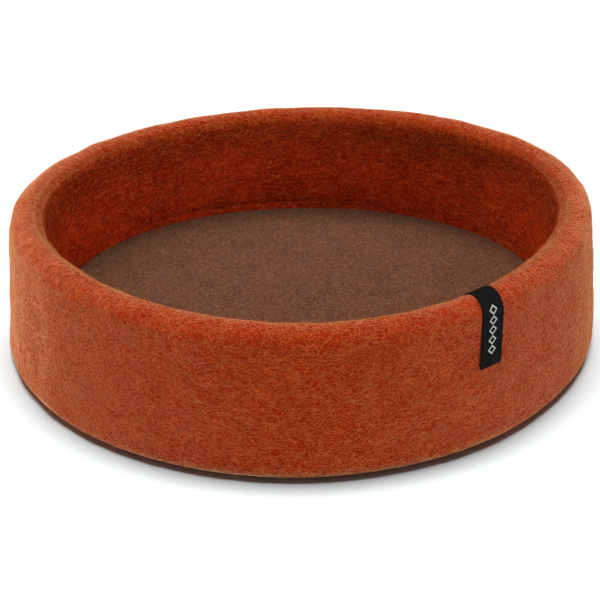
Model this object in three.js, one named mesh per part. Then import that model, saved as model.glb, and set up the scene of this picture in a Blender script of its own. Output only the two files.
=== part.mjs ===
import * as THREE from 'three';

// A round felt pet basket: one thick felt body of floor and wall, a felt mat inside, and a woven label
// folded over the rim. Millimetres, +Z up, standing on z = 0, front towards -Y.

// Driving sizes of the felt body
const RIM_RADIUS = 300;
const FOOT_RADIUS = 308.8;
const HEIGHT = 150.5;
const WALL_THICKNESS = 36;
const FOOT_ROUND = 13;
const FLOOR_THICKNESS = 16;
const INSIDE_RADIUS = 262;
const FLOOR_CORNER = 5.5;

// The crease where the wall turns into the floor, just above the mat, and the soft lip under it
const CREASE_ABOVE_MAT = 7;
const CREASE_HALF_WIDTH = 3;

// Driving sizes of the mat
const MAT_TOP = 32;
const MAT_SEAT_GAP = 0.3;
const MAT_EDGE_GAP = 0.6;
const MAT_LOWER_ROUND = 6;
const MAT_UPPER_ROUND = 2.5;

// Driving sizes of the label, a ribbon over the rim; its ends are heights on the wall
const LABEL_WIDTH = 26;
const LABEL_THICKNESS = 1;
const LABEL_GAP = 0.4;
const LABEL_ANGLE = 306;
const LABEL_LEAN = 1.2;
const LABEL_OUTER_END = 82;
const LABEL_INNER_END = 108;
const LABEL_CORNER_CURL = 1.2;

// How fine the meshes are
const COLUMNS = 120;
const FOOT_STEPS = 5;
const SIDE_STEPS = 6;
const RIM_STEPS = 12;
const CREASE_STEPS = 6;
const CORNER_STEPS = 3;
const LABEL_COLUMNS = 6;
const LABEL_LEG_STEPS = 6;

// Hand-felted unevenness round the wall, offsets in mm. at: degrees from +X. rim: radius at the rim.
// foot: more radius at the foot. rise: height of the rim. belly: radius half-way up the outside.
// crease: depth of the crease above the mat.
const STATIONS = [
  { at: 0, rim: -1.0, foot: -1.8, rise: 4.5, belly: 1.0, crease: 1.0 },
  { at: 30, rim: 5.1, foot: 0.6, rise: 2.3, belly: 0.4, crease: 2.5 },
  { at: 60, rim: 1.6, foot: 0.1, rise: 0.0, belly: -0.2, crease: 4.0 },
  { at: 90, rim: -3.4, foot: -1.0, rise: -2.0, belly: -0.4, crease: 2.5 },
  { at: 120, rim: -0.6, foot: -0.1, rise: -3.9, belly: -0.1, crease: 3.0 },
  { at: 150, rim: 1.5, foot: 1.0, rise: -3.0, belly: 0.1, crease: 1.0 },
  { at: 180, rim: -0.9, foot: 0.5, rise: 1.3, belly: -0.1, crease: 1.5 },
  { at: 210, rim: -1.3, foot: 0.6, rise: 3.6, belly: -0.6, crease: 2.0 },
  { at: 240, rim: 1.4, foot: 2.5, rise: 0.1, belly: -0.9, crease: 2.5 },
  { at: 270, rim: 3.0, foot: 2.4, rise: -3.8, belly: -0.5, crease: 2.0 },
  { at: 300, rim: -0.5, foot: -1.1, rise: -2.0, belly: 0.3, crease: 1.5 },
  { at: 330, rim: -4.9, foot: -3.6, rise: 2.9, belly: 1.0, crease: 1.5 },
];

// Smooth periodic curve through one column of the table (Catmull-Rom)
function columnAt(name, degrees) {
  const count = STATIONS.length;
  const place = (((degrees % 360) + 360) % 360) / (360 / count);
  const index = Math.floor(place);
  const t = place - index;
  const value = (step) => STATIONS[(index + step + count) % count][name];
  const [before, start, end, after] = [value(-1), value(0), value(1), value(2)];
  const linear = end - before;
  const square = 2 * before - 5 * start + 4 * end - after;
  const cube = 3 * start - before - 3 * end + after;
  return start + (t * (linear + t * (square + t * cube))) / 2;
}

// Points of an arc in the section plane, from one angle to the other in degrees
function arc(radius, height, round, from, to, steps) {
  return Array.from({ length: steps + 1 }, (_, step) => {
    const angle = THREE.MathUtils.degToRad(from + ((to - from) * step) / steps);
    return { r: radius + round * Math.cos(angle), z: height + round * Math.sin(angle) };
  });
}

// Points of a straight stretch in the section plane, without its first point
function stretch(from, to, steps) {
  return Array.from({ length: steps }, (_, step) => {
    const t = (step + 1) / steps;
    return { r: from.r + (to.r - from.r) * t, z: from.z + (to.z - from.z) * t };
  });
}

// Corner points of the even section, which the straight stretches of the wall join
const HALF_WALL = WALL_THICKNESS / 2;
const SHOULDER = HEIGHT - HALF_WALL;
const FOOT_TOP = { r: FOOT_RADIUS, z: FOOT_ROUND };
const RIM_OUTSIDE = { r: RIM_RADIUS, z: SHOULDER };
const RIM_INSIDE = { r: RIM_RADIUS - WALL_THICKNESS, z: SHOULDER };
const CREASE_TOP = { r: INSIDE_RADIUS, z: MAT_TOP + CREASE_ABOVE_MAT + CREASE_HALF_WIDTH };
const CREASE_FOOT = { r: INSIDE_RADIUS, z: MAT_TOP + CREASE_ABOVE_MAT - CREASE_HALF_WIDTH };

// The rim is half a circle from the outside of the wall to its inside
function rimArc() {
  return arc(RIM_RADIUS - HALF_WALL, SHOULDER, HALF_WALL, 0, 180, RIM_STEPS);
}

// Marks points with the side of the wall that they lie on
function onSide(side, points) {
  return points.map((point) => ({ ...point, side }));
}

// Section of the even body, from the foot over the rim and down the inside to the floor
function bodySection() {
  const foot = arc(FOOT_RADIUS - FOOT_ROUND, FOOT_ROUND, FOOT_ROUND, -90, 0, FOOT_STEPS);
  const cornerHeight = FLOOR_THICKNESS + FLOOR_CORNER;
  const corner = arc(INSIDE_RADIUS - FLOOR_CORNER, cornerHeight, FLOOR_CORNER, 0, -90, CORNER_STEPS);
  return [
    ...onSide('outer', foot),
    ...onSide('outer', stretch(FOOT_TOP, RIM_OUTSIDE, SIDE_STEPS)),
    ...onSide('rim', rimArc().slice(1)),
    ...onSide('inner', stretch(RIM_INSIDE, CREASE_TOP, SIDE_STEPS)),
    ...onSide('inner', stretch(CREASE_TOP, CREASE_FOOT, CREASE_STEPS)),
    ...onSide('floor', corner),
  ];
}

// Moves a point of the even section to where the uneven body has it at this angle
function bend(point, degrees) {
  const up = point.z / HEIGHT;
  const aboveMat = Math.max(0, (point.z - MAT_TOP) / (HEIGHT - MAT_TOP));
  let radius = point.r + columnAt('rim', degrees) + columnAt('foot', degrees) * (1 - up);
  if (point.side === 'outer') {
    const upTheSide = point.z / SHOULDER;
    radius += columnAt('belly', degrees) * 4 * upTheSide * (1 - upTheSide);
  }
  const fromCrease = (point.z - MAT_TOP - CREASE_ABOVE_MAT) / CREASE_HALF_WIDTH;
  if (point.side === 'inner' && Math.abs(fromCrease) < 1) {
    radius += columnAt('crease', degrees) * (0.5 + 0.5 * Math.cos(Math.PI * fromCrease));
  }
  return { r: radius, z: point.z + columnAt('rise', degrees) * aboveMat };
}

// Closed mesh from a vertex list and a list of corner rows, each a triangle or a quad
function solid(vertices, faces) {
  const geometry = new THREE.BufferGeometry();
  const index = faces.flatMap(([a, b, c, d]) => (d === undefined ? [a, b, c] : [a, b, c, a, c, d]));
  geometry.setAttribute('position', new THREE.Float32BufferAttribute(vertices.flat(), 3));
  geometry.setIndex(index);
  geometry.computeVertexNormals();
  return geometry;
}

// Solid swept once round the axis. section(degrees) gives its points from bottom to top, as seen outside;
// a point on the axis closes each end.
function roundSolid(section, bottomHeight, topHeight) {
  const vertices = [[0, 0, bottomHeight], [0, 0, topHeight]];
  const rowCount = section(0).length;
  for (let column = 0; column < COLUMNS; column += 1) {
    const degrees = (360 * column) / COLUMNS;
    const angle = THREE.MathUtils.degToRad(degrees);
    for (const { r, z } of section(degrees)) {
      vertices.push([r * Math.cos(angle), r * Math.sin(angle), z]);
    }
  }
  const at = (column, row) => 2 + (column % COLUMNS) * rowCount + row;
  const faces = [];
  for (let column = 0; column < COLUMNS; column += 1) {
    faces.push([0, at(column + 1, 0), at(column, 0)]);
    for (let row = 0; row < rowCount - 1; row += 1) {
      faces.push([at(column, row), at(column + 1, row), at(column + 1, row + 1), at(column, row + 1)]);
    }
    faces.push([1, at(column, rowCount - 1), at(column + 1, rowCount - 1)]);
  }
  return solid(vertices, faces);
}

// Felt body with its floor
function bodyGeometry() {
  const even = bodySection();
  return roundSolid((degrees) => even.map((point) => bend(point, degrees)), 0, FLOOR_THICKNESS);
}

// Flat mat that fills the inside of the body, with softened edges
function matGeometry() {
  const underside = FLOOR_THICKNESS + MAT_SEAT_GAP;
  const edge = INSIDE_RADIUS - MAT_EDGE_GAP;
  const lowerHeight = underside + MAT_LOWER_ROUND;
  const upperHeight = MAT_TOP - MAT_UPPER_ROUND;
  const even = [
    ...arc(edge - MAT_LOWER_ROUND, lowerHeight, MAT_LOWER_ROUND, -90, 0, CORNER_STEPS),
    ...arc(edge - MAT_UPPER_ROUND, upperHeight, MAT_UPPER_ROUND, 0, 90, CORNER_STEPS),
  ];
  const section = (degrees) => even.map((point) => ({ r: bend(point, degrees).r, z: point.z }));
  return roundSolid(section, underside, MAT_TOP);
}

// Point at a height on the straight stretch between two corner points
function atHeight(low, high, height) {
  const t = (height - low.z) / (high.z - low.z);
  return { r: low.r + (high.r - low.r) * t, z: height };
}

// Even section that the ribbon follows, from its outer end over the rim to its inner end
function labelPath() {
  const outerEnd = atHeight(FOOT_TOP, RIM_OUTSIDE, LABEL_OUTER_END);
  const innerEnd = atHeight(CREASE_TOP, RIM_INSIDE, LABEL_INNER_END);
  return [
    ...onSide('outer', [outerEnd, ...stretch(outerEnd, RIM_OUTSIDE, LABEL_LEG_STEPS)]),
    ...onSide('rim', rimArc().slice(1)),
    ...onSide('inner', stretch(RIM_INSIDE, innerEnd, LABEL_LEG_STEPS)),
  ];
}

// Ribbon folded over the rim, leaning a little, with its free lower corner standing off
function labelGeometry() {
  const even = labelPath();
  const rows = even.length;
  const degreesAcross = THREE.MathUtils.radToDeg(LABEL_WIDTH / RIM_RADIUS);
  const point = (row, column, lift) => {
    const along = row / (rows - 1);
    const across = column / LABEL_COLUMNS;
    const degrees = LABEL_ANGLE - LABEL_LEAN * (1 - 2 * along) + degreesAcross * (across - 0.5);
    const here = bend(even[row], degrees);
    const before = bend(even[Math.max(0, row - 1)], degrees);
    const after = bend(even[Math.min(rows - 1, row + 1)], degrees);
    const slope = Math.hypot(after.r - before.r, after.z - before.z);
    const curl = LABEL_CORNER_CURL * (1 - across) ** 2 * Math.max(0, 1 - 3 * along) ** 2;
    const out = lift + curl;
    const radius = here.r + (out * (after.z - before.z)) / slope;
    const height = here.z - (out * (after.r - before.r)) / slope;
    const angle = THREE.MathUtils.degToRad(degrees);
    return [radius * Math.cos(angle), radius * Math.sin(angle), height];
  };
  const vertices = [];
  for (const lift of [LABEL_GAP, LABEL_GAP + LABEL_THICKNESS]) {
    for (let row = 0; row < rows; row += 1) {
      for (let column = 0; column <= LABEL_COLUMNS; column += 1) {
        vertices.push(point(row, column, lift));
      }
    }
  }
  const last = LABEL_COLUMNS;
  const end = rows - 1;
  const under = (row, column) => row * (last + 1) + column;
  const over = (row, column) => (rows + row) * (last + 1) + column;
  const faces = [];
  for (let row = 0; row < end; row += 1) {
    const up = row + 1;
    for (let column = 0; column < last; column += 1) {
      const right = column + 1;
      faces.push([over(row, column), over(row, right), over(up, right), over(up, column)]);
      faces.push([under(row, column), under(up, column), under(up, right), under(row, right)]);
    }
    faces.push([under(row, 0), over(row, 0), over(up, 0), under(up, 0)]);
    faces.push([over(row, last), under(row, last), under(up, last), over(up, last)]);
  }
  for (let column = 0; column < last; column += 1) {
    const right = column + 1;
    faces.push([under(0, column), under(0, right), over(0, right), over(0, column)]);
    faces.push([over(end, column), over(end, right), under(end, right), under(end, column)]);
  }
  return solid(vertices, faces);
}

function piece(name, geometry, color, roughness) {
  const mesh = new THREE.Mesh(geometry, new THREE.MeshStandardMaterial({ color, roughness, metalness: 0 }));
  mesh.name = name;
  return mesh;
}

const feltBasket = new THREE.Group();
feltBasket.add(piece('basket', bodyGeometry(), '#a34423', 0.95));
feltBasket.add(piece('mat', matGeometry(), '#6f4a36', 0.95));
feltBasket.add(piece('label', labelGeometry(), '#151716', 0.6));

// The middle of the whole, seen from above, is the origin
const middle = new THREE.Box3().setFromObject(feltBasket).getCenter(new THREE.Vector3());
feltBasket.position.set(-middle.x, -middle.y, 0);

export default feltBasket;
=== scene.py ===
"""Looks of a round felt pet basket: a thick hand-felted body, a felt mat inside, and a ribbon label.

Metres, +Z up, front towards -Y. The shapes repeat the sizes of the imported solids, with finer meshes,
and loose wool fibres lie on them.
"""

import math

import bpy
import numpy as np
from mathutils import Matrix, Vector


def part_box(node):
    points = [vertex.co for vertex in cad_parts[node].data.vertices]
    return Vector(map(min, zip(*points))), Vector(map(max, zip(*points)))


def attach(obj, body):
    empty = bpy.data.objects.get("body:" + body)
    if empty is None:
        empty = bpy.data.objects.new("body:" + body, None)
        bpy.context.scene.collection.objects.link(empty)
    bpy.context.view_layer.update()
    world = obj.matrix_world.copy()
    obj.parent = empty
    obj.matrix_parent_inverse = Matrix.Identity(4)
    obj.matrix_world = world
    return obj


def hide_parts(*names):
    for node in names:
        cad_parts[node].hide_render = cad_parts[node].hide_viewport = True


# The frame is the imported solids; everything here is fitted to it
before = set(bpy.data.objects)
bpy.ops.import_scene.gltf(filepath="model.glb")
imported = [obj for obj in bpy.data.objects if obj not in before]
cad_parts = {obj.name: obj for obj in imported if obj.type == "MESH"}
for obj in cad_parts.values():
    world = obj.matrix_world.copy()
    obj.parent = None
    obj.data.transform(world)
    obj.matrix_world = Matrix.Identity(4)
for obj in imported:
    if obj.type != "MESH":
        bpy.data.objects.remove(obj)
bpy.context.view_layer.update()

MM = 0.001

# Sizes of the felt body, as in the solids
RIM_RADIUS = 300 * MM
FOOT_RADIUS = 308.8 * MM
HEIGHT = 150.5 * MM
WALL_THICKNESS = 36 * MM
FOOT_ROUND = 13 * MM
FLOOR_THICKNESS = 16 * MM
INSIDE_RADIUS = 262 * MM
FLOOR_CORNER = 5.5 * MM
CREASE_ABOVE_MAT = 7 * MM
CREASE_HALF_WIDTH = 3 * MM

# Softer than the solids: the foot's edge lifts a little from the floor, and the crease above the mat is
# a groove of this reach both ways and this share of its depth
FOOT_LIFT = 1.5 * MM
FOOT_LIFT_START = 275 * MM
FOOT_LIFT_WAY = 10 * MM
FOOT_LIFT_SHARE = 0.3
CREASE_REACH = 6 * MM
CREASE_SHARE = 0.5

# Sizes of the mat, as in the solids
MAT_TOP = 32 * MM
MAT_SEAT_GAP = 0.3 * MM
MAT_EDGE_GAP = 0.6 * MM
MAT_LOWER_ROUND = 6 * MM
MAT_UPPER_ROUND = 2.5 * MM

# Sizes of the label, as in the solids
LABEL_WIDTH = 26 * MM
LABEL_THICKNESS = 1 * MM
LABEL_GAP = 0.4 * MM
LABEL_ANGLE = math.radians(306)
LABEL_LEAN = math.radians(1.2)
LABEL_OUTER_END = 82 * MM
LABEL_INNER_END = 108 * MM
LABEL_CORNER_CURL = 1.2 * MM

# Hand-felted unevenness round the wall, offsets in mm. at: degrees from +X. rim: radius at the rim.
# foot: more radius at the foot. rise: height of the rim. belly: radius half-way up the outside.
# crease: depth of the crease above the mat.
STATIONS = [
    dict(at=0, rim=-1.0, foot=-1.8, rise=4.5, belly=1.0, crease=1.0),
    dict(at=30, rim=5.1, foot=0.6, rise=2.3, belly=0.4, crease=0.5),
    dict(at=60, rim=1.6, foot=0.1, rise=0.0, belly=-0.2, crease=1.0),
    dict(at=90, rim=-3.4, foot=-1.0, rise=-2.0, belly=-0.4, crease=2.5),
    dict(at=120, rim=-0.6, foot=-0.1, rise=-3.9, belly=-0.1, crease=3.0),
    dict(at=150, rim=1.5, foot=1.0, rise=-3.0, belly=0.1, crease=1.0),
    dict(at=180, rim=-0.9, foot=0.5, rise=1.3, belly=-0.1, crease=1.5),
    dict(at=210, rim=-1.3, foot=0.6, rise=3.6, belly=-0.6, crease=2.0),
    dict(at=240, rim=1.4, foot=2.5, rise=0.1, belly=-0.9, crease=2.5),
    dict(at=270, rim=3.0, foot=2.4, rise=-3.8, belly=-0.5, crease=2.0),
    dict(at=300, rim=-0.5, foot=-1.1, rise=-2.0, belly=0.3, crease=1.5),
    dict(at=330, rim=-4.9, foot=-3.6, rise=2.9, belly=1.0, crease=1.5),
]

# How fine the meshes are: steps round the axis, and the longest step along a section
BODY_COLUMNS = 480
MAT_COLUMNS = 300
SECTION_STEP = 3.2 * MM
MAT_STEP = 4 * MM
MAT_LAST_RING = 8 * MM
LABEL_COLUMNS = 26
LABEL_STEP = 1.0 * MM
LABEL_EDGE_STEPS = 4

# Heights of the felt's lumps, and the heights on the body between which they set in
BROAD_LUMP_HEIGHT = 0.45 * MM
SMALL_LUMP_HEIGHT = 0.12 * MM
MAT_LUMP_HEIGHT = 0.18 * MM
OUTER_LUMPS = (2 * MM, 16 * MM)
INNER_LUMPS = (MAT_TOP, MAT_TOP + 10 * MM)

SEED = 7
WALL_FIBRE_SEED = SEED + 10
MAT_FIBRE_SEED = SEED + 30

# The camera of the photograph: fitted to the outlines of rim, foot and mat
CAMERA_ELEVATION = math.radians(25.713)
CAMERA_DISTANCE = 1.950
CAMERA_AIM = Vector((-0.0025, 0, 0.0345))
CAMERA_ROLL = math.radians(-0.673)
FOCAL_PIXELS = 1842.8
PICTURE_PIXELS = 600
SENSOR_WIDTH = 36

HALF_WALL = WALL_THICKNESS / 2
SHOULDER = HEIGHT - HALF_WALL
FOOT_TOP = (FOOT_RADIUS, FOOT_ROUND)
RIM_OUTSIDE = (RIM_RADIUS, SHOULDER)
RIM_INSIDE = (RIM_RADIUS - WALL_THICKNESS, SHOULDER)
CREASE_HEIGHT = MAT_TOP + CREASE_ABOVE_MAT
CREASE_TOP = (INSIDE_RADIUS, CREASE_HEIGHT + CREASE_HALF_WIDTH)
CREASE_FOOT = (INSIDE_RADIUS, CREASE_HEIGHT - CREASE_HALF_WIDTH)
MAT_UNDERSIDE = FLOOR_THICKNESS + MAT_SEAT_GAP
MAT_RADIUS = INSIDE_RADIUS - MAT_EDGE_GAP


def column_at(name, angle):
    """Smooth periodic curve through one column of the table (Catmull-Rom), in metres."""
    values = np.array([row[name] for row in STATIONS]) * MM
    count = len(values)
    place = np.mod(angle, 2 * np.pi) / (2 * np.pi) * count
    index = np.floor(place).astype(int)
    share = place - index
    before, start, end, after = (values[(index + step) % count] for step in (-1, 0, 1, 2))
    linear = end - before
    square = 2 * before - 5 * start + 4 * end - after
    cube = 3 * start - before - 3 * end + after
    return start + share * (linear + share * (square + share * cube)) / 2


def arc(radius, height, size, start, stop, steps):
    """Points of an arc in the section plane, from one angle to the other in degrees."""
    angles = np.radians(np.linspace(start, stop, steps + 1))
    return [(radius + size * math.cos(angle), height + size * math.sin(angle)) for angle in angles]


def arc_steps(size, degrees, step):
    """Steps that an arc needs, at least 4."""
    return max(4, round(size * math.radians(degrees) / step))


def stretch(start, stop, step):
    """Points of a straight stretch in the section plane, without its first point."""
    count = max(1, round(math.dist(start, stop) / step))
    return [
        (start[0] + (stop[0] - start[0]) * share, start[1] + (stop[1] - start[1]) * share)
        for share in np.linspace(0, 1, count + 1)[1:]
    ]


class Section:
    """An even section as a polyline. Points are found by their way along it."""

    def __init__(self, runs):
        sides = [side for side, run in runs for _ in run]
        self.r, self.z = np.array([point for _, run in runs for point in run]).T
        self.outer = np.array([side == "outer" for side in sides], float)
        self.inner = np.array([side == "inner" for side in sides], float)
        steps = np.hypot(np.diff(self.r), np.diff(self.z))
        self.way = np.concatenate([[0], np.cumsum(steps)])
        self.length = self.way[-1]
        self.side_starts = {}
        for way, side in zip(self.way, sides):
            self.side_starts.setdefault(side, way)

    def at(self, along, values):
        return np.interp(along, self.way, values)


def body_section(step):
    """Section of the even body, from the foot over the rim and down the inside to the floor."""
    rim_steps = arc_steps(HALF_WALL, 180, step)
    lifted_round = FOOT_ROUND - FOOT_LIFT
    foot_steps = arc_steps(lifted_round, 90, step)
    foot = [(FOOT_LIFT_START, 0.0), (FOOT_LIFT_START + FOOT_LIFT_WAY, FOOT_LIFT_SHARE * FOOT_LIFT)]
    foot += arc(FOOT_RADIUS - lifted_round, FOOT_ROUND, lifted_round, -90, 0, foot_steps)
    rim = arc(RIM_RADIUS - HALF_WALL, SHOULDER, HALF_WALL, 0, 180, rim_steps)
    corner_height = FLOOR_THICKNESS + FLOOR_CORNER
    corner = arc(INSIDE_RADIUS - FLOOR_CORNER, corner_height, FLOOR_CORNER, 0, -90, 4)
    return Section(
        [
            ("outer", foot + stretch(FOOT_TOP, RIM_OUTSIDE, step)),
            ("rim", rim[1:]),
            ("inner", stretch(RIM_INSIDE, CREASE_TOP, step)),
            ("inner", stretch(CREASE_TOP, CREASE_FOOT, step / 3)),
            ("floor", corner),
        ]
    )


def smooth_step(low, high, value):
    share = np.clip((value - low) / (high - low), 0, 1)
    return share * share * (3 - 2 * share)


def make_lumps(seed, count, smallest, largest):
    """Seamless soft unevenness over a round surface: a sum of waves, between about -1 and 1."""
    random = np.random.default_rng(seed)
    waves = []
    for _ in range(count):
        size = smallest * (largest / smallest) ** random.random()
        heading = random.uniform(0, 2 * math.pi)
        round_axis = round(2 * math.pi * RIM_RADIUS / size * math.cos(heading))
        along_section = 2 * math.pi / size * math.sin(heading)
        waves.append((round_axis, along_section, random.uniform(0, 2 * math.pi)))

    def lumps(angle, along):
        total = sum(np.sin(turns * angle + rate * along + phase) for turns, rate, phase in waves)
        return total / math.sqrt(count)

    return lumps


BODY = body_section(SECTION_STEP)
broad_lumps = make_lumps(SEED, 14, 45 * MM, 120 * MM)
small_lumps = make_lumps(SEED + 1, 22, 12 * MM, 30 * MM)
mat_lumps = make_lumps(SEED + 2, 16, 35 * MM, 90 * MM)
swirls = make_lumps(SEED + 3, 14, 22 * MM, 60 * MM)


def spread(radius, height, angle):
    """Radius of the uneven body where the even one has this radius and height."""
    up = height / HEIGHT
    return radius + column_at("rim", angle) + column_at("foot", angle) * (1 - up)


def body_place(angle, along):
    """Radius and height of the uneven body, before its small lumps."""
    even_r = BODY.at(along, BODY.r)
    even_z = BODY.at(along, BODY.z)
    up_side = even_z / SHOULDER
    belly = column_at("belly", angle) * 4 * up_side * (1 - up_side)
    from_crease = np.clip((even_z - MAT_TOP - CREASE_ABOVE_MAT) / CREASE_REACH, -1, 1)
    groove = CREASE_SHARE * (0.5 + 0.5 * np.cos(math.pi * from_crease))
    radius = spread(even_r, even_z, angle) + BODY.at(along, BODY.outer) * belly
    radius = radius + BODY.at(along, BODY.inner) * column_at("crease", angle) * groove
    above_mat = np.maximum(0, (even_z - MAT_TOP) / (HEIGHT - MAT_TOP))
    return radius, even_z + column_at("rise", angle) * above_mat


def to_points(angle, radius, height):
    return np.stack([radius * np.cos(angle), radius * np.sin(angle), height], axis=-1)


def body_normal(angle, along):
    """Unit normals of the uneven body, out of the felt."""
    small = 0.5 * MM
    turn = small / RIM_RADIUS
    low, high = np.clip(along - small, 0, BODY.length), np.clip(along + small, 0, BODY.length)
    up = to_points(angle, *body_place(angle, high)) - to_points(angle, *body_place(angle, low))
    ahead = to_points(angle + turn, *body_place(angle + turn, along))
    behind = to_points(angle - turn, *body_place(angle - turn, along))
    normal = np.cross(ahead - behind, up)
    return normal / np.linalg.norm(normal, axis=-1, keepdims=True)


def body_surface(angle, along, lift=0.0):
    """Points on the felt, with its lumps, lifted along the normal."""
    radius, height = body_place(angle, along)
    normal = body_normal(angle, along)
    above_foot = smooth_step(*OUTER_LUMPS, BODY.at(along, BODY.z))
    above_mat = smooth_step(*INNER_LUMPS, height)
    free = np.where(along > BODY.side_starts["inner"], above_mat, above_foot)
    lumps = BROAD_LUMP_HEIGHT * broad_lumps(angle, along) + SMALL_LUMP_HEIGHT * small_lumps(angle, along)
    return to_points(angle, radius, height) + normal * (lift + lumps * free)[..., None]


# The maps: a margin above and below each piece's sides for its ends, and for the fibres a margin all
# round and the width of each face
POLE_MARGIN = 0.1
LABEL_MARGIN = 0.05
FIBRE_MARGIN = 0.01
FIBRE_FACE_WIDTH = 0.02


def new_mesh(name, points, faces):
    mesh = bpy.data.meshes.new(name)
    mesh.from_pydata(points.reshape(-1, 3).tolist(), [], faces)
    mesh.validate()
    mesh.polygons.foreach_set("use_smooth", [True] * len(mesh.polygons))
    return new_piece(name, mesh)


def new_piece(name, mesh):
    piece = bpy.data.objects.new(name, mesh)
    bpy.context.scene.collection.objects.link(piece)
    return piece


def bake_map(piece, corner_uv):
    """Adds the unwrapped map, one (u, v) for each corner of each face."""
    layer = piece.data.uv_layers.new(name="OFBake")
    layer.data.foreach_set("uv", np.asarray(corner_uv, np.float32).ravel())


def grid_quads(rows, columns):
    """Row, column and corners of each quad of a grid whose columns close to a ring."""
    row, column = np.meshgrid(np.arange(rows), np.arange(columns), indexing="ij")
    right = (column + 1) % columns
    low, high = row * columns, (row + 1) * columns
    quads = np.stack([low + column, low + right, high + right, high + column], axis=-1)
    return row, column, quads.reshape(-1, 4).tolist()


def quad_map(left, right, row, rows, margin):
    """The map of a grid's quads, between its left and right sides and inside a margin up and down."""
    low, high = (margin + (1 - 2 * margin) * (row + up) / rows for up in (0, 1))
    return np.stack([left, low, right, low, right, high, left, high], axis=-1).reshape(-1, 2)


def swept_piece(name, rings, bottom_pole, top_pole):
    """Closed mesh of rings round the axis, (rows, columns, 3), from the bottom up as seen outside."""
    rows, columns = rings.shape[0] - 1, rings.shape[1]
    points = np.concatenate([rings.reshape(-1, 3), [bottom_pole, top_pole]])
    row, column, quads = grid_quads(rows, columns)
    last_ring = rows * columns
    bottom, top = last_ring + columns, last_ring + columns + 1
    first = [[bottom, (c + 1) % columns, c] for c in range(columns)]
    last = [[top, last_ring + c, last_ring + (c + 1) % columns] for c in range(columns)]
    piece = new_mesh(name, points, quads + first + last)
    quad_uv = quad_map(column / columns, (column + 1) / columns, row, rows, POLE_MARGIN)
    start, middle, stop = ((np.arange(columns) + share) / columns for share in (0, 0.5, 1))
    lowest, highest = np.zeros(columns), np.ones(columns)
    low, high = lowest + POLE_MARGIN, highest - POLE_MARGIN
    first_uv = np.stack([middle, lowest, stop, low, start, low], axis=-1).reshape(-1, 2)
    last_uv = np.stack([middle, highest, start, high, stop, high], axis=-1).reshape(-1, 2)
    bake_map(piece, np.concatenate([quad_uv, first_uv, last_uv]))
    return piece


def angles_round(columns):
    return np.arange(columns) * 2 * math.pi / columns


def make_body():
    angle, along = np.meshgrid(angles_round(BODY_COLUMNS), BODY.way, indexing="xy")
    return swept_piece("felt_body", body_surface(angle, along), (0, 0, 0), (0, 0, FLOOR_THICKNESS))


def mat_section():
    """Section of the mat: rounded edge, then rings over the top towards the middle."""
    lower_center = (MAT_RADIUS - MAT_LOWER_ROUND, MAT_UNDERSIDE + MAT_LOWER_ROUND)
    upper_center = (MAT_RADIUS - MAT_UPPER_ROUND, MAT_TOP - MAT_UPPER_ROUND)
    lower = arc(*lower_center, MAT_LOWER_ROUND, -90, 0, 5)
    upper = arc(*upper_center, MAT_UPPER_ROUND, 0, 90, 6)
    return lower + upper + stretch(upper[-1], (MAT_LAST_RING, MAT_TOP), MAT_STEP)


def mat_surface(angle, radius, height, lift=0.0):
    """Points on the mat, whose outline follows the inside of the body."""
    share = radius / INSIDE_RADIUS
    wide = radius + (spread(INSIDE_RADIUS, height, angle) - INSIDE_RADIUS) * share**2
    on_top = smooth_step(MAT_TOP - 1 * MM, MAT_TOP, height)
    lumps = MAT_LUMP_HEIGHT * mat_lumps(angle, radius) * on_top * share
    return to_points(angle, wide, height + lumps + lift)


def make_mat():
    section = np.array(mat_section())
    angle, radius = np.meshgrid(angles_round(MAT_COLUMNS), section[:, 0], indexing="xy")
    height = np.broadcast_to(section[:, 1:2], radius.shape)
    rings = mat_surface(angle, radius, height)
    return swept_piece("felt_mat", rings, (0, 0, MAT_UNDERSIDE), (0, 0, MAT_TOP))


# The ribbon's course: ways along the body's section, found from the heights of its ends
OUTER_SIDE = math.dist(FOOT_TOP, RIM_OUTSIDE)
INNER_SIDE = math.dist(CREASE_TOP, RIM_INSIDE)
OUTER_END_DOWN = (SHOULDER - LABEL_OUTER_END) / (SHOULDER - FOOT_TOP[1])
INNER_END_DOWN = (SHOULDER - LABEL_INNER_END) / (SHOULDER - CREASE_TOP[1])
LABEL_START = BODY.side_starts["rim"] - OUTER_SIDE * OUTER_END_DOWN
LABEL_STOP = BODY.side_starts["inner"] + INNER_SIDE * INNER_END_DOWN
LABEL_LENGTH = LABEL_STOP - LABEL_START

# The ribbon's map: the way round its section across, and its length upwards from its outer end
LABEL_MAP_WIDTH = 2 * (LABEL_WIDTH + LABEL_THICKNESS)
LABEL_MAP_LENGTH = LABEL_LENGTH / (1 - 2 * LABEL_MARGIN)


def label_middle(along_share):
    """Angle of the ribbon's middle, which leans a little along its course."""
    return LABEL_ANGLE - LABEL_LEAN * (1 - 2 * along_share)


def label_surface(across, along_share, lift):
    """Points over the ribbon's width (0 to 1) and length (0 at its outer end, 1 at its inner end)."""
    along = LABEL_START + LABEL_LENGTH * along_share
    angle = label_middle(along_share) + LABEL_WIDTH / RIM_RADIUS * (across - 0.5)
    curl = LABEL_CORNER_CURL * (1 - across) ** 2 * np.maximum(0, 1 - 3 * along_share) ** 2
    radius, height = body_place(angle, along)
    return to_points(angle, radius, height) + body_normal(angle, along) * (lift + curl)[..., None]


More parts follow.
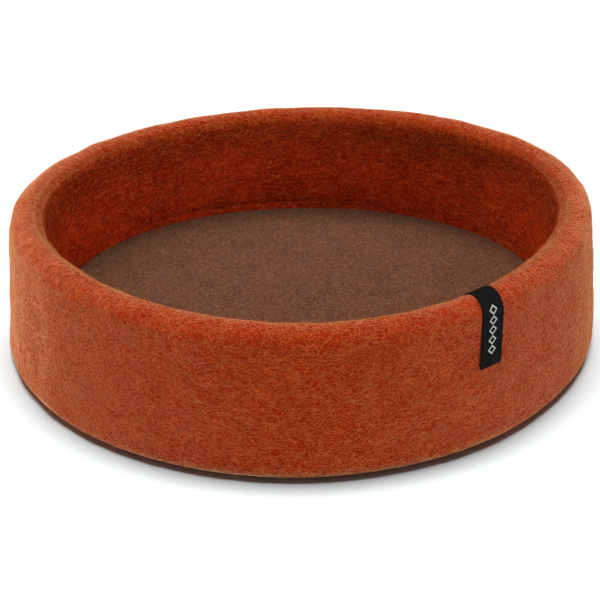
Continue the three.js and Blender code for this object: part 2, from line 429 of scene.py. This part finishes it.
def make_label():
    rows = round(LABEL_LENGTH / LABEL_STEP)
    across = np.linspace(0, 1, LABEL_COLUMNS + 1)
    between = np.linspace(0, 1, LABEL_EDGE_STEPS + 1)[1:-1]
    far, near = np.ones(len(between)), np.zeros(len(between))
    edge = np.concatenate([across, far, across[::-1], near])
    upper, lower = np.ones(LABEL_COLUMNS + 1), np.zeros(LABEL_COLUMNS + 1)
    level = np.concatenate([upper, between[::-1], lower, between])
    ring = len(edge)
    across_grid, along_grid = np.meshgrid(edge, np.linspace(0, 1, rows + 1), indexing="xy")
    level_grid = np.broadcast_to(level, across_grid.shape)
    points = label_surface(across_grid, along_grid, LABEL_GAP + LABEL_THICKNESS * level_grid)
    row, column, quads = grid_quads(rows, ring)
    ends = [list(range(ring))[::-1], [rows * ring + c for c in range(ring)]]
    piece = new_mesh("label_ribbon", points, quads + ends)
    over, down = LABEL_WIDTH / LABEL_COLUMNS, LABEL_THICKNESS / LABEL_EDGE_STEPS
    steps = ([over] * LABEL_COLUMNS + [down] * LABEL_EDGE_STEPS) * 2
    round_section = np.concatenate([[0], np.cumsum(steps)]) / LABEL_MAP_WIDTH
    quad_uv = quad_map(round_section[column], round_section[column + 1], row, rows, LABEL_MARGIN)
    # The ends lie in the map's margins, below and above the sides
    end_uv = np.stack([0.4 * edge, 0.01 + 0.02 * level], axis=-1)
    bake_map(piece, np.concatenate([quad_uv, end_uv[::-1], end_uv + [0, 0.95]]))
    return piece


def tubes(paths, sides, widths, flatness):
    """Points and faces of closed tapering tubes.

    The paths and sides are (fibres, steps, 3), with one width for each fibre.
    """
    fibres, steps, _ = paths.shape
    ahead = np.gradient(paths, axis=1)
    ahead /= np.linalg.norm(ahead, axis=-1, keepdims=True)
    across = np.cross(ahead, sides)
    across /= np.linalg.norm(across, axis=-1, keepdims=True)
    up = np.cross(across, ahead)
    taper = np.sin(np.linspace(0, math.pi, steps)[1:-1]) ** 0.5
    half = widths[:, None, None] / 2 * taper[None, :, None]
    rings = []
    for turn in np.radians([90, 210, 330]):
        offset = math.cos(turn) * across + flatness * math.sin(turn) * up
        rings.append(paths[:, 1:-1] + half * offset[:, 1:-1])
    rings = np.stack(rings, axis=2).reshape(fibres, (steps - 2) * 3, 3)
    points = np.concatenate([paths[:, :1], rings, paths[:, -1:]], axis=1)
    per_fibre = points.shape[1]
    faces = [(0, 1 + k, 1 + (k + 1) % 3) for k in range(3)]
    for step in range(steps - 3):
        low, high = 1 + 3 * step, 4 + 3 * step
        for k in range(3):
            following = (k + 1) % 3
            faces += [(low + k, high + following, low + following), (low + k, high + k, high + following)]
    last = per_fibre - 1
    faces += [(last, last - 3 + (k + 1) % 3, last - 3 + k) for k in range(3)]
    faces = np.array(faces)
    first = np.arange(fibres) * per_fibre
    all_faces = (faces[None] + first[:, None, None]).reshape(-1, 3)
    along = np.concatenate([[0], np.repeat(np.linspace(0, 1, steps)[1:-1], 3), [1]])
    return points.reshape(-1, 3), all_faces, along[faces]


def new_fibres(name, paths, sides, widths, flatness, shades):
    """One mesh of loose fibres. Its map has the fibre's shade across and the way along it upwards."""
    points, faces, along = tubes(paths, sides, widths, flatness)
    mesh = bpy.data.meshes.new(name)
    mesh.vertices.add(len(points))
    mesh.vertices.foreach_set("co", points.astype(np.float32).ravel())
    mesh.loops.add(faces.size)
    mesh.loops.foreach_set("vertex_index", faces.astype(np.int32).ravel())
    mesh.polygons.add(len(faces))
    mesh.polygons.foreach_set("loop_start", np.arange(0, faces.size, 3, dtype=np.int32))
    mesh.update(calc_edges=True)
    mesh.polygons.foreach_set("use_smooth", np.zeros(len(faces), bool))
    piece = new_piece(name, mesh)
    corners = np.tile(np.array([0, 1, 0.5]), faces.shape[0])
    u = np.repeat(shades, along.size) + FIBRE_FACE_WIDTH * corners
    v = np.tile(along.ravel(), len(paths))
    room = 1 - 2 * FIBRE_MARGIN
    map_u, map_v = FIBRE_MARGIN + (room - FIBRE_FACE_WIDTH) * u, FIBRE_MARGIN + room * v
    bake_map(piece, np.stack([map_u, map_v], axis=-1))
    return piece


def curls(random, heading, steps, shortest, longest, curliness):
    """Curling flat paths about (0, 0), one for each heading, as offsets one way and the other."""
    count = len(heading)
    length = random.uniform(shortest, longest, count)
    bend = random.normal(0, curliness, count)
    wave = random.normal(0, curliness, count)
    share = np.linspace(0, 1, steps)[None]
    sway = wave[:, None] * np.sin(share * 2 * math.pi) / 2
    heading = heading[:, None] + bend[:, None] * (share - 0.5) + sway
    stride = (length / (steps - 1))[:, None]
    middle = (heading[:, 1:] + heading[:, :-1]) / 2
    start = np.zeros((count, 1))
    x = np.concatenate([start, np.cumsum(stride * np.cos(middle), axis=1)], axis=1)
    y = np.concatenate([start, np.cumsum(stride * np.sin(middle), axis=1)], axis=1)
    return x - x[:, steps // 2, None], y - y[:, steps // 2, None]


def arched_lift(random, kind, count):
    """Lifts along each fibre, from ends sunk in the felt to a middle that stands off it."""
    share = np.linspace(0, 1, kind["steps"])[None]
    height = random.uniform(*kind["lift"], count)[:, None]
    return height * np.sin(share * math.pi) ** 0.7 - kind["sink"]


# Limits of the loose fibres: first and last way along the body's section, lowest height, distance from
# the label, and on the mat the farthest that a curl's middle and its ends come from the axis
WALL_FIBRE_WAYS = (6 * MM, BODY.length - 1 * MM)
WALL_FIBRE_LOWEST = 0.3 * MM
LABEL_CLEARANCE = 4 * MM
MAT_CURL_MIDDLES = INSIDE_RADIUS - 6 * MM
MAT_CURL_EDGE = INSIDE_RADIUS - 3 * MM


def near_label(angle, along):
    """Whether places on the body lie under the label or just beside it."""
    share = np.clip((along - LABEL_START) / LABEL_LENGTH, 0, 1)
    turn = np.mod(angle - label_middle(share) + math.pi, 2 * math.pi) - math.pi
    beside = np.abs(turn) * RIM_RADIUS < LABEL_WIDTH / 2 + LABEL_CLEARANCE
    return beside & (along > LABEL_START - LABEL_CLEARANCE) & (along < LABEL_STOP + LABEL_CLEARANCE)


def make_wall_fibres(name, kind, seed, count, angles, alongs):
    """Loose fibres on the body between two angles and two ways along the section."""
    random = np.random.default_rng(seed)
    angle, along = random.uniform(*angles, count), random.uniform(*alongs, count)
    heading = kind["swirl"] * swirls(angle, along) + random.normal(0, kind["astray"], count)
    heading += math.pi * random.integers(0, 2, count)
    x, y = curls(random, heading, kind["steps"], *kind["length"], kind["curliness"])
    angle = angle[:, None] + x / RIM_RADIUS
    along = np.clip(along[:, None] + y, *WALL_FIBRE_WAYS)
    paths = body_surface(angle, along, arched_lift(random, kind, count))
    paths[..., 2] = np.maximum(paths[..., 2], WALL_FIBRE_LOWEST)
    middle = kind["steps"] // 2
    kept = ~near_label(angle[:, middle], along[:, middle])
    widths = random.uniform(*kind["width"], count)
    shades = random.uniform(*kind["shade"], count)
    sides = body_normal(angle, along)
    return new_fibres(name, paths[kept], sides[kept], widths[kept], kind["flatness"], shades[kept])


def make_mat_fibres(name, kind, seed, count):
    """Loose fibres on the mat's top."""
    random = np.random.default_rng(seed)
    heading = random.uniform(0, 2 * math.pi, count)
    x, y = curls(random, heading, kind["steps"], *kind["length"], kind["curliness"])
    radius = MAT_CURL_MIDDLES * np.sqrt(random.uniform(0, 1, count))[:, None]
    angle = random.uniform(0, 2 * math.pi, count)[:, None]
    x, y = x + radius * np.cos(angle), y + radius * np.sin(angle)
    lift = arched_lift(random, kind, count)
    height = np.full(x.shape, MAT_TOP)
    paths = mat_surface(np.arctan2(y, x), np.minimum(np.hypot(x, y), MAT_CURL_EDGE), height, lift)
    sides = np.broadcast_to(np.array([0.0, 0.0, 1.0]), paths.shape)
    widths = random.uniform(*kind["width"], count)
    shades = random.uniform(*kind["shade"], count)
    return new_fibres(name, paths, sides, widths, kind["flatness"], shades)


def mesh_middle(piece):
    """Middle of the box round a piece's mesh."""
    places = np.zeros(len(piece.data.vertices) * 3)
    piece.data.vertices.foreach_get("co", places)
    places = places.reshape(-1, 3)
    return (places.min(0) + places.max(0)) / 2


body = make_body()
mat = make_mat()
label = make_label()
low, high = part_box("mat")
shift = Vector((low + high) / 2) - Vector(mesh_middle(mat))
FRAME_SHIFT = Vector((shift.x, shift.y, 0))


def place_on_frame(piece, node=None):
    """Moves a new piece, made about the body's own axis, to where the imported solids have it."""
    piece.data.transform(Matrix.Translation(FRAME_SHIFT))
    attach(piece, "root")
    if node:
        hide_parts(node)


for piece, node in ((body, "basket"), (mat, "mat"), (label, "label")):
    place_on_frame(piece, node)

# Kinds of loose fibre: steps along each, and ranges of length, lift, width and shade. The ends are sunk
# in the felt by sink. The flatness is the height of a fibre's section over its width, the curliness
# the usual turn in radians along it, swirl how far its heading follows the swirls of the felt, and
# astray how far it strays from them.
THREAD = {
    "steps": 6,
    "length": (10 * MM, 26 * MM),
    "lift": (0.1 * MM, 0.5 * MM),
    "sink": 0.06 * MM,
    "width": (0.18 * MM, 0.29 * MM),
    "flatness": 0.35,
    "curliness": 1.4,
    "swirl": 0.9,
    "astray": 0.6,
    "shade": (0.0, 1.0),
}
RIM_THREAD = {**THREAD, "lift": (0.2 * MM, 0.9 * MM)}
INNER_THREAD = {
    **THREAD,
    "lift": (0.1 * MM, 0.4 * MM),
    "width": (0.26 * MM, 0.42 * MM),
    "swirl": 0.35,
    "astray": 0.4,
}
STRAY = {
    **THREAD,
    "steps": 11,
    "length": (14 * MM, 34 * MM),
    "lift": (0.8 * MM, 3.0 * MM),
    "width": (0.16 * MM, 0.24 * MM),
    "flatness": 1.0,
    "curliness": 1.6,
    "astray": 1.5,
    "shade": (0.6, 1.0),
}
MAT_CURL = {
    **THREAD,
    "steps": 4,
    "length": (3 * MM, 8 * MM),
    "lift": (0.1 * MM, 0.3 * MM),
    "sink": 0.05 * MM,
    "width": (0.16 * MM, 0.24 * MM),
}
MAT_CURL_COUNT = 6500

# The rim's look gives way to that of the inside over a turn between them
TURN_START = BODY.side_starts["inner"] - 25 * MM
INSIDE_START = BODY.side_starts["inner"] - 13 * MM
OUTER_WALL = (8 * MM, BODY.side_starts["rim"])
RIM = (BODY.side_starts["rim"], INSIDE_START)
INNER_WALL = (INSIDE_START, BODY.side_starts["floor"] - 8 * MM)
ALL_ROUND = (0, 2 * math.pi)

# Loose fibres on the body: name, kind, count, range of angles and range of ways along the section
WALL_FIBRES = [
    ("threads_front_left", THREAD, 4900, (math.pi, 1.5 * math.pi), OUTER_WALL),
    ("threads_front_right", THREAD, 4900, (1.5 * math.pi, 2 * math.pi), OUTER_WALL),
    ("threads_back_right", THREAD, 4900, (0, 0.5 * math.pi), OUTER_WALL),
    ("threads_back_left", THREAD, 4900, (0.5 * math.pi, math.pi), OUTER_WALL),
    ("threads_rim", RIM_THREAD, 5200, ALL_ROUND, RIM),
    ("threads_inner", INNER_THREAD, 5200, ALL_ROUND, INNER_WALL),
    ("strays_outer", STRAY, 500, ALL_ROUND, OUTER_WALL),
    ("strays_rim", STRAY, 130, ALL_ROUND, RIM),
    ("strays_inner", STRAY, 90, ALL_ROUND, INNER_WALL),
]

orange_fibres = []
for number, (name, kind, count, angles, alongs) in enumerate(WALL_FIBRES):
    fibres = make_wall_fibres(name, kind, WALL_FIBRE_SEED + number, count, angles, alongs)
    place_on_frame(fibres)
    orange_fibres.append(fibres)
brown_fibres = make_mat_fibres("curls_mat", MAT_CURL, MAT_FIBRE_SEED, MAT_CURL_COUNT)
place_on_frame(brown_fibres)


class Nodes:
    """Adds shader nodes to a new material. Inputs are numbers, colours or other nodes' sockets."""

    def __init__(self, name, **settings):
        self.material = bpy.data.materials.new(name)
        self.material.use_nodes = True
        self.tree = self.material.node_tree
        self.shader = self.tree.nodes["Principled BSDF"]
        for key, value in settings.items():
            self.shader.inputs[key].default_value = value

    def put(self, socket, value):
        if isinstance(value, bpy.types.NodeSocket):
            self.tree.links.new(value, socket)
        else:
            socket.default_value = value

    def add(self, kind, inputs, output=0, **settings):
        node = self.tree.nodes.new(kind)
        for key, value in settings.items():
            setattr(node, key, value)
        for key, value in inputs.items():
            self.put(node.inputs[key], value)
        return node.outputs[output]

    def place(self):
        """Place on the piece in metres."""
        return self.tree.nodes.new("ShaderNodeTexCoord").outputs["Object"]

    def parts(self, vector):
        """The three numbers of a vector."""
        split = self.tree.nodes.new("ShaderNodeSeparateXYZ")
        self.put(split.inputs[0], vector)
        return split.outputs

    def map_place(self):
        """Place on the piece's map, across and up."""
        return self.parts(self.add("ShaderNodeUVMap", {}, uv_map="OFBake"))[:2]

    def math(self, operation, a, b=0.0, c=0.0):
        return self.add("ShaderNodeMath", {0: a, 1: b, 2: c}, operation=operation)

    def away(self, value, middle=0.0):
        """How far a value is from a middle one, either way."""
        return self.math("ABSOLUTE", self.math("SUBTRACT", value, middle) if middle else value)

    def moved(self, place, offset):
        return self.add("ShaderNodeVectorMath", {0: place, 1: offset}, operation="ADD")

    def stretched(self, place, share):
        """Places for a pattern that lies flatter: its features are this much lower than wide."""
        return self.add("ShaderNodeVectorMath", {0: place, 1: (1.0, 1.0, share)}, operation="MULTIPLY")

    def noise(self, place, size, detail=0.0, distortion=0.0):
        inputs = {"Vector": place, "Scale": 1 / size, "Detail": detail, "Distortion": distortion}
        return self.add("ShaderNodeTexNoise", inputs)

    def step(self, value, low, high, out_low=0.0, out_high=1.0):
        """Smooth step of a value from one level to another."""
        inputs = {"Value": value, "From Min": low, "From Max": high, "To Min": out_low, "To Max": out_high}
        return self.add("ShaderNodeMapRange", inputs, interpolation_type="SMOOTHSTEP")

    def strands(self, place, size, width, curl):
        """Curling lines about so far apart: where a noise crosses its middle."""
        off = self.away(self.noise(place, size, 0.0, curl), 0.5)
        return self.step(off, 0.0, width, 1.0, 0.0)

    def blend(self, factor, a, b):
        return self.add("ShaderNodeMix", {0: factor, 6: a, 7: b}, output=2, data_type="RGBA")

    def tinted(self, color, factor, painted_light_and_shade):
        inputs = {0: factor, 6: color, 7: painted_light_and_shade}
        return self.add("ShaderNodeMix", inputs, output=2, data_type="RGBA", blend_type="MULTIPLY")

    def radius_and_height(self, place):
        x, y, z = self.parts(place)
        flat = self.add("ShaderNodeCombineXYZ", {0: x, 1: y})
        return self.add("ShaderNodeVectorMath", {0: flat}, output=1, operation="LENGTH"), z

    def bump(self, height, distance):
        normal = self.add("ShaderNodeBump", {"Height": height, "Distance": distance, "Strength": 1.0})
        self.put(self.shader.inputs["Normal"], normal)

    def color(self, socket):
        self.put(self.shader.inputs["Base Color"], socket)


def rgba(red, green, blue):
    return (red, green, blue, 1.0)


# Levels between which the felt's uneven ground turns from dark to middle, radii over which the inside's
# painted light and shade fade, heights over which the wall's painted light gives way to the turn's painted
# shade, and how far strands curl
GROUND_LEVELS = (0.2, 0.8)
INSIDE_PAINTED_LIGHT_SHADE_RADII = (269 * MM, 281 * MM)
PAINTED_LIGHT_TO_SHADE_HEIGHTS = (80 * MM, 130 * MM)
STRAND_CURL = 1.2


def felt_material(name, look):
    """Matted wool: thin curling strands over an uneven ground, paler where a strand lies on top.

    The patterns are moved apart only so that they don't follow each other.
    """
    nodes = Nodes(name, **look["finish"])
    place = nodes.place()
    clumps = nodes.noise(nodes.stretched(place, look["clump_stretch"]), look["clump"], 2.0)
    blotches = nodes.noise(nodes.moved(place, (3.1, 1.7, 5.3)), look["blotch"], 2.0)
    layers = []
    for number, (size, width, share) in enumerate(look["strands"]):
        apart = nodes.moved(place, (number * 1.3, 0.7, number * 2.9))
        strand = nodes.strands(nodes.stretched(apart, look["strand_stretch"]), size, width, STRAND_CURL)
        layers.append(nodes.math("MULTIPLY", strand, share))
    wool = layers[0]
    for layer in layers[1:]:
        wool = nodes.math("ADD", wool, layer)
    uneven = nodes.math("MULTIPLY_ADD", nodes.math("SUBTRACT", clumps, 0.5), look["clump_share"], 0.5)
    uneven = nodes.math("MULTIPLY_ADD", nodes.math("SUBTRACT", blotches, 0.5), look["blotch_share"], uneven)
    ground = nodes.blend(nodes.step(uneven, *GROUND_LEVELS), rgba(*look["dark"]), rgba(*look["middle"]))
    felt = nodes.blend(wool, ground, rgba(*look["pale"]))
    # Painted light and shade inside: brighter low on the inner wall, darker at the rim's inner turn
    radius, height_up = nodes.radius_and_height(place)
    inside = nodes.step(radius, *INSIDE_PAINTED_LIGHT_SHADE_RADII, 1.0, 0.0)
    toward_painted_turn_shade = nodes.step(height_up, *PAINTED_LIGHT_TO_SHADE_HEIGHTS)
    painted_light_and_shade = nodes.blend(toward_painted_turn_shade, rgba(*look["inside_wall_painted_light"]), rgba(*look["inside_turn_painted_shade"]))
    nodes.color(nodes.tinted(felt, inside, painted_light_and_shade))
    nodes.bump(nodes.math("MULTIPLY_ADD", clumps, look["clump_height"], wool), look["relief"])
    return nodes.material


def fibre_material(name, shades, finish):
    """Loose fibres, each of its own shade by its map, and part of the way to a third one at the ends."""
    dark, pale, end = (rgba(*shade) for shade in shades)
    nodes = Nodes(name, **finish)
    shade_share, along = nodes.map_place()
    shade = nodes.blend(shade_share, dark, pale)
    near_end = nodes.step(nodes.away(along, 0.5), 0.2, 0.5, 0.0, 0.35)
    nodes.color(nodes.blend(near_end, shade, end))
    return nodes.material


# Matt wool. The orange has a pale sheen at grazing view outside, less of it on the fibres and at the
# rim's inner turn, and none inside; the brown has a little.
ORANGE_FINISH = {
    "Roughness": 1.0,
    "Specular IOR Level": 0.0,
    "Sheen Weight": 0.85,
    "Sheen Roughness": 0.2,
    "Sheen Tint": rgba(1.0, 0.78, 0.4),
}
FIBRE_FINISH = {**ORANGE_FINISH, "Sheen Weight": 0.5}
TURN_FINISH = {**ORANGE_FINISH, "Sheen Weight": 0.3}
INSIDE_FINISH = {**ORANGE_FINISH, "Sheen Weight": 0.0}
BROWN_FINISH = {
    "Roughness": 1.0,
    "Specular IOR Level": 0.0,
    "Sheen Weight": 0.1,
    "Sheen Roughness": 0.5,
    "Sheen Tint": rgba(1.0, 0.8, 0.65),
}

# Looks of the felts. The ground is dark to middle, made uneven by clumps and blotches of these sizes,
# each by its share. Over it lie layers of pale strands: how far apart, how wide and how strong. What is
# stretched lies that much flatter. Inside the basket the colour is multiplied by painted light, brighter
# low on the wall, and by painted shade, darker at the wall's turn at the rim. The relief is the height of
# the wool, to which clumps add their share.
ORANGE_FELT = dict(
    finish=ORANGE_FINISH,
    dark=(0.123, 0.0045, 0.0006),
    middle=(0.178, 0.008, 0.0012),
    pale=(0.372, 0.058, 0.0125),
    # Painted light low on the inner wall, and painted shade at the rim's inner turn
    inside_wall_painted_light=(1.1, 0.92, 1.0),
    inside_turn_painted_shade=(0.74, 0.95, 1.0),
    clump=4 * MM,
    clump_share=0.55,
    clump_stretch=1.4,
    blotch=55 * MM,
    blotch_share=0.3,
    strands=[
        (13 * MM, 0.018, 0.5),
        (11 * MM, 0.02, 0.5),
        (9 * MM, 0.024, 0.5),
        (7 * MM, 0.03, 0.45),
        (5 * MM, 0.04, 0.4),
        (3.6 * MM, 0.06, 0.35),
    ],
    strand_stretch=1.6,
    clump_height=0.4,
    relief=0.4 * MM,
)
TURN_FELT = dict(ORANGE_FELT, finish=TURN_FINISH)
INSIDE_FELT = dict(
    ORANGE_FELT,
    finish=INSIDE_FINISH,
    # Painted light: the inner wall is drawn brighter low down
    inside_wall_painted_light=(1.22, 1.1, 1.1),
    dark=(0.088, 0.0017, 0.0003),
    middle=(0.19, 0.007, 0.0012),
    pale=(0.36, 0.058, 0.011),
    clump=16 * MM,
    clump_share=1.8,
    clump_stretch=5.0,
    blotch_share=1.0,
)
BROWN_FELT = dict(
    finish=BROWN_FINISH,
    inside_wall_painted_light=(1.0, 1.0, 1.0),
    inside_turn_painted_shade=(1.0, 1.0, 1.0),
    dark=(0.018, 0.0022, 0.0002),
    middle=(0.052, 0.011, 0.002),
    pale=(0.215, 0.097, 0.045),
    clump=2.6 * MM,
    clump_share=1.6,
    clump_stretch=1.0,
    blotch=40 * MM,
    blotch_share=0.6,
    strands=[(2.0 * MM, 0.09, 0.5), (3.0 * MM, 0.06, 0.45)],
    strand_stretch=1.0,
    clump_height=0.6,
    relief=0.4 * MM,
)

# Colours of the loose fibres: from the darkest to the palest, and that of their ends
ORANGE_SHADES = [(0.152, 0.006, 0.0008), (0.42, 0.125, 0.032), (0.2, 0.015, 0.0025)]
# The inside's fibres are darker and redder than the same wool outside: painted shade
INSIDE_WOOL_PAINTED_SHADE = [(0.12, 0.0024, 0.0003), (0.34, 0.06, 0.018), (0.15, 0.005, 0.0007)]
BROWN_SHADES = [(0.026, 0.0045, 0.0008), (0.22, 0.115, 0.065), (0.06, 0.018, 0.006)]

# The ribbon's weave, its colours for the lower and upper threads, and the lozenges woven into it. Their
# line runs at a share of their half sizes and fades between two distances from its middle.
THREAD_PITCH = 0.55 * MM
THREAD_RELIEF = 0.09 * MM
EDGE_CORD = 1.2 * MM
EDGE_CORD_FADE = 0.2 * MM
RIBBON_BLACKS = [(0.0016, 0.0018, 0.0017), (0.003, 0.0033, 0.0031)]
RIBBON_WORN = (0.0045, 0.005, 0.0048)
RIBBON_PALES = [(0.2, 0.197, 0.185), (0.34, 0.335, 0.31)]
LOZENGE_START = 11.5 * MM
LOZENGE_PITCH = 9.6 * MM
LOZENGE_COUNT = 5
LOZENGE_HALF_WIDTH = 5.0 * MM
LOZENGE_HALF_LENGTH = 4.7 * MM
LOZENGE_LINE = 0.8
LOZENGE_LINE_FADE = (0.12, 0.24)


def label_material(name):
    """Black woven ribbon: fine crossing threads, corded long edges, and a column of small pale lozenges."""
    nodes = Nodes(name, **{"Roughness": 0.7, "Specular IOR Level": 0.02})
    map_across, map_up = nodes.map_place()
    across = nodes.math("MULTIPLY_ADD", map_across, LABEL_MAP_WIDTH, -LABEL_WIDTH / 2)
    along = nodes.math("MULTIPLY_ADD", map_up, LABEL_MAP_LENGTH, -LABEL_MARGIN * LABEL_MAP_LENGTH)
    warp = nodes.math("SINE", nodes.math("MULTIPLY", across, math.pi / THREAD_PITCH))
    weft = nodes.math("SINE", nodes.math("MULTIPLY", along, math.pi / THREAD_PITCH))
    weave = nodes.math("MULTIPLY", warp, weft)
    from_middle = nodes.away(across)
    cord_start = LABEL_WIDTH / 2 - EDGE_CORD
    edge = nodes.step(from_middle, cord_start, cord_start + EDGE_CORD_FADE)
    cord = nodes.math("MULTIPLY", nodes.away(weft), edge)
    nodes.bump(nodes.math("MAXIMUM", nodes.away(weave), cord), THREAD_RELIEF)
    over = nodes.step(weave, -0.6, 0.6)
    threads = nodes.blend(over, *(rgba(*black) for black in RIBBON_BLACKS))
    worn = nodes.noise(nodes.place(), 7 * MM, 3.0)
    threads = nodes.blend(nodes.step(worn, 0.35, 0.75, 0.0, 0.5), threads, rgba(*RIBBON_WORN))
    row = nodes.math("DIVIDE", nodes.math("SUBTRACT", along, LOZENGE_START), LOZENGE_PITCH)
    from_row = nodes.away(nodes.math("FRACT", row), 0.5)
    long_share = nodes.math("MULTIPLY", from_row, LOZENGE_PITCH / LOZENGE_HALF_LENGTH)
    wide_share = nodes.math("DIVIDE", from_middle, LOZENGE_HALF_WIDTH)
    from_line = nodes.away(nodes.math("ADD", wide_share, long_share), LOZENGE_LINE)
    line = nodes.step(from_line, *LOZENGE_LINE_FADE, 1.0, 0.0)
    after_first = nodes.math("GREATER_THAN", row, 0.0)
    before_last = nodes.math("LESS_THAN", row, LOZENGE_COUNT)
    figure = nodes.math("MULTIPLY", line, nodes.math("MULTIPLY", after_first, before_last))
    pale_threads = nodes.blend(over, *(rgba(*pale) for pale in RIBBON_PALES))
    nodes.color(nodes.blend(figure, threads, pale_threads))
    roughness = nodes.step(nodes.away(weave), 0.0, 1.0, 0.82, 0.6)
    nodes.put(nodes.shader.inputs["Roughness"], roughness)
    return nodes.material


orange = felt_material("felt_orange", ORANGE_FELT)
orange_turn = felt_material("felt_orange_turn", TURN_FELT)
orange_inside = felt_material("felt_orange_inside", INSIDE_FELT)
brown = felt_material("felt_brown", BROWN_FELT)
orange_wool = fibre_material("wool_orange", ORANGE_SHADES, FIBRE_FINISH)
# The inside's wool carries painted shade
inside_wool_painted_shade = fibre_material("wool_inside_painted_shade", INSIDE_WOOL_PAINTED_SHADE, INSIDE_FINISH)
brown_wool = fibre_material("wool_brown", BROWN_SHADES, BROWN_FINISH)
ribbon = label_material("ribbon_black")


def finish_piece(piece, slot, *materials):
    for material in materials:
        piece.data.materials.append(material)


finish_piece(body, "felt_orange", orange, orange_turn, orange_inside)
row_material = np.searchsorted([TURN_START, INSIDE_START], BODY.way[:-1], side="right")
underside, inner_floor = 0, 2
face_material = np.repeat([*row_material, underside, inner_floor], BODY_COLUMNS)
body.data.polygons.foreach_set("material_index", face_material.astype(np.int32))
finish_piece(mat, "felt_brown", brown)
finish_piece(label, "ribbon_black", ribbon)
for piece in orange_fibres:
    finish_piece(piece, "felt_orange", inside_wool_painted_shade if piece.name.endswith("inner") else orange_wool)
finish_piece(brown_fibres, "felt_brown", brown_wool)

# The floor has two lights of its own, so that its shadow stays deep under the wall
basket_only = bpy.data.collections.new("basket_only")
for piece in [body, mat, label, brown_fibres] + orange_fibres:
    basket_only.objects.link(piece)
floor_only = bpy.data.collections.new("floor_only")

# The floor lies a hair lower than the foot, so that no two faces meet
FLOOR_REACH = 6.0
FLOOR_DROP = 0.3 * MM
FLOOR_FINISH = {"Roughness": 0.9, "Base Color": rgba(0.59, 0.645, 0.65)}

# The lights' ways round, elevations and spreads in degrees, and their strengths
WORLD_STRENGTH = 0.1
FLOOR_LIGHTS = [
    ("floor_left", 130, 77, 22, 0.94),
    ("floor_right", 52, 77, 22, 0.94),
]
BASKET_LIGHTS = [
    ("sky", 90, 90, 170, 0.12),
    ("key_back", 90, 72, 30, 0.96),
    ("key_left", 130, 77, 30, 0.37),
    ("top_left", 140, 50, 30, 0.47),
    ("low_back_left", 130, -3, 3, 1.9),
    ("low_left", 170, -3, 3, 0.88),
    ("low_right", 20, -3, 3, 0.62),
    ("low_back_right", 60, -3, 3, 0.6),
    ("floor_bounce", -90, -22, 30, 0.12),
    ("front_left", -140, 15, 30, 0.47),
    ("front_left_high", -140, 45, 30, 0.24),
    ("front", -60, 15, 30, 0.11),
    ("front_right", -28, 15, 30, 0.6),
    ("front_right_high", -20, 45, 30, 0.34),
]


def make_floor():
    corners = [(-1, -1, 0), (1, -1, 0), (1, 1, 0), (-1, 1, 0)]
    points = np.array(corners) * FLOOR_REACH - [0, 0, FLOOR_DROP]
    floor = new_mesh("floor", points, [[0, 1, 2, 3]])
    floor.data.materials.append(Nodes("floor_white", **FLOOR_FINISH).material)
    floor_only.objects.link(floor)


def make_soft_sun(name, around, elevation, spread_angle, strength, receivers):
    """Even light from one way, with 90 degrees around for the back.

    Its strength is the radiance of a white surface square to it.
    """
    data = bpy.data.lights.new(name, "SUN")
    data.energy = strength * math.pi
    data.angle = math.radians(spread_angle)
    light = bpy.data.objects.new(name, data)
    level = math.cos(math.radians(elevation))
    side, depth = math.cos(math.radians(around)), math.sin(math.radians(around))
    toward_light = Vector((level * side, level * depth, math.sin(math.radians(elevation))))
    light.rotation_euler = toward_light.to_track_quat("Z", "Y").to_euler()
    bpy.context.scene.collection.objects.link(light)
    light.light_linking.receiver_collection = receivers
    # The floor doesn't shade light that comes from below its edge
    if elevation < 0:
        light.light_linking.blocker_collection = basket_only


def make_lights():
    world = bpy.data.worlds.new("studio")
    bpy.context.scene.world = world
    world.use_nodes = True
    background = world.node_tree.nodes["Background"]
    background.inputs["Color"].default_value = rgba(1, 1, 1)
    background.inputs["Strength"].default_value = WORLD_STRENGTH
    for light in FLOOR_LIGHTS:
        make_soft_sun(*light, floor_only)
    for light in BASKET_LIGHTS:
        make_soft_sun(*light, basket_only)


def make_camera():
    data = bpy.data.cameras.new("camera")
    data.sensor_width = SENSOR_WIDTH
    data.lens = FOCAL_PIXELS * SENSOR_WIDTH / PICTURE_PIXELS
    camera = bpy.data.objects.new("camera", data)
    back = Vector((0, -math.cos(CAMERA_ELEVATION), math.sin(CAMERA_ELEVATION)))
    camera.location = CAMERA_AIM + FRAME_SHIFT + back * CAMERA_DISTANCE
    camera.rotation_mode = "QUATERNION"
    roll = Matrix.Rotation(CAMERA_ROLL, 3, "Z").to_quaternion()
    camera.rotation_quaternion = (-back).to_track_quat("-Z", "Y") @ roll
    bpy.context.scene.collection.objects.link(camera)
    bpy.context.scene.camera = camera


make_floor()
make_lights()
make_camera()
bpy.context.scene.view_settings.view_transform = "Standard"
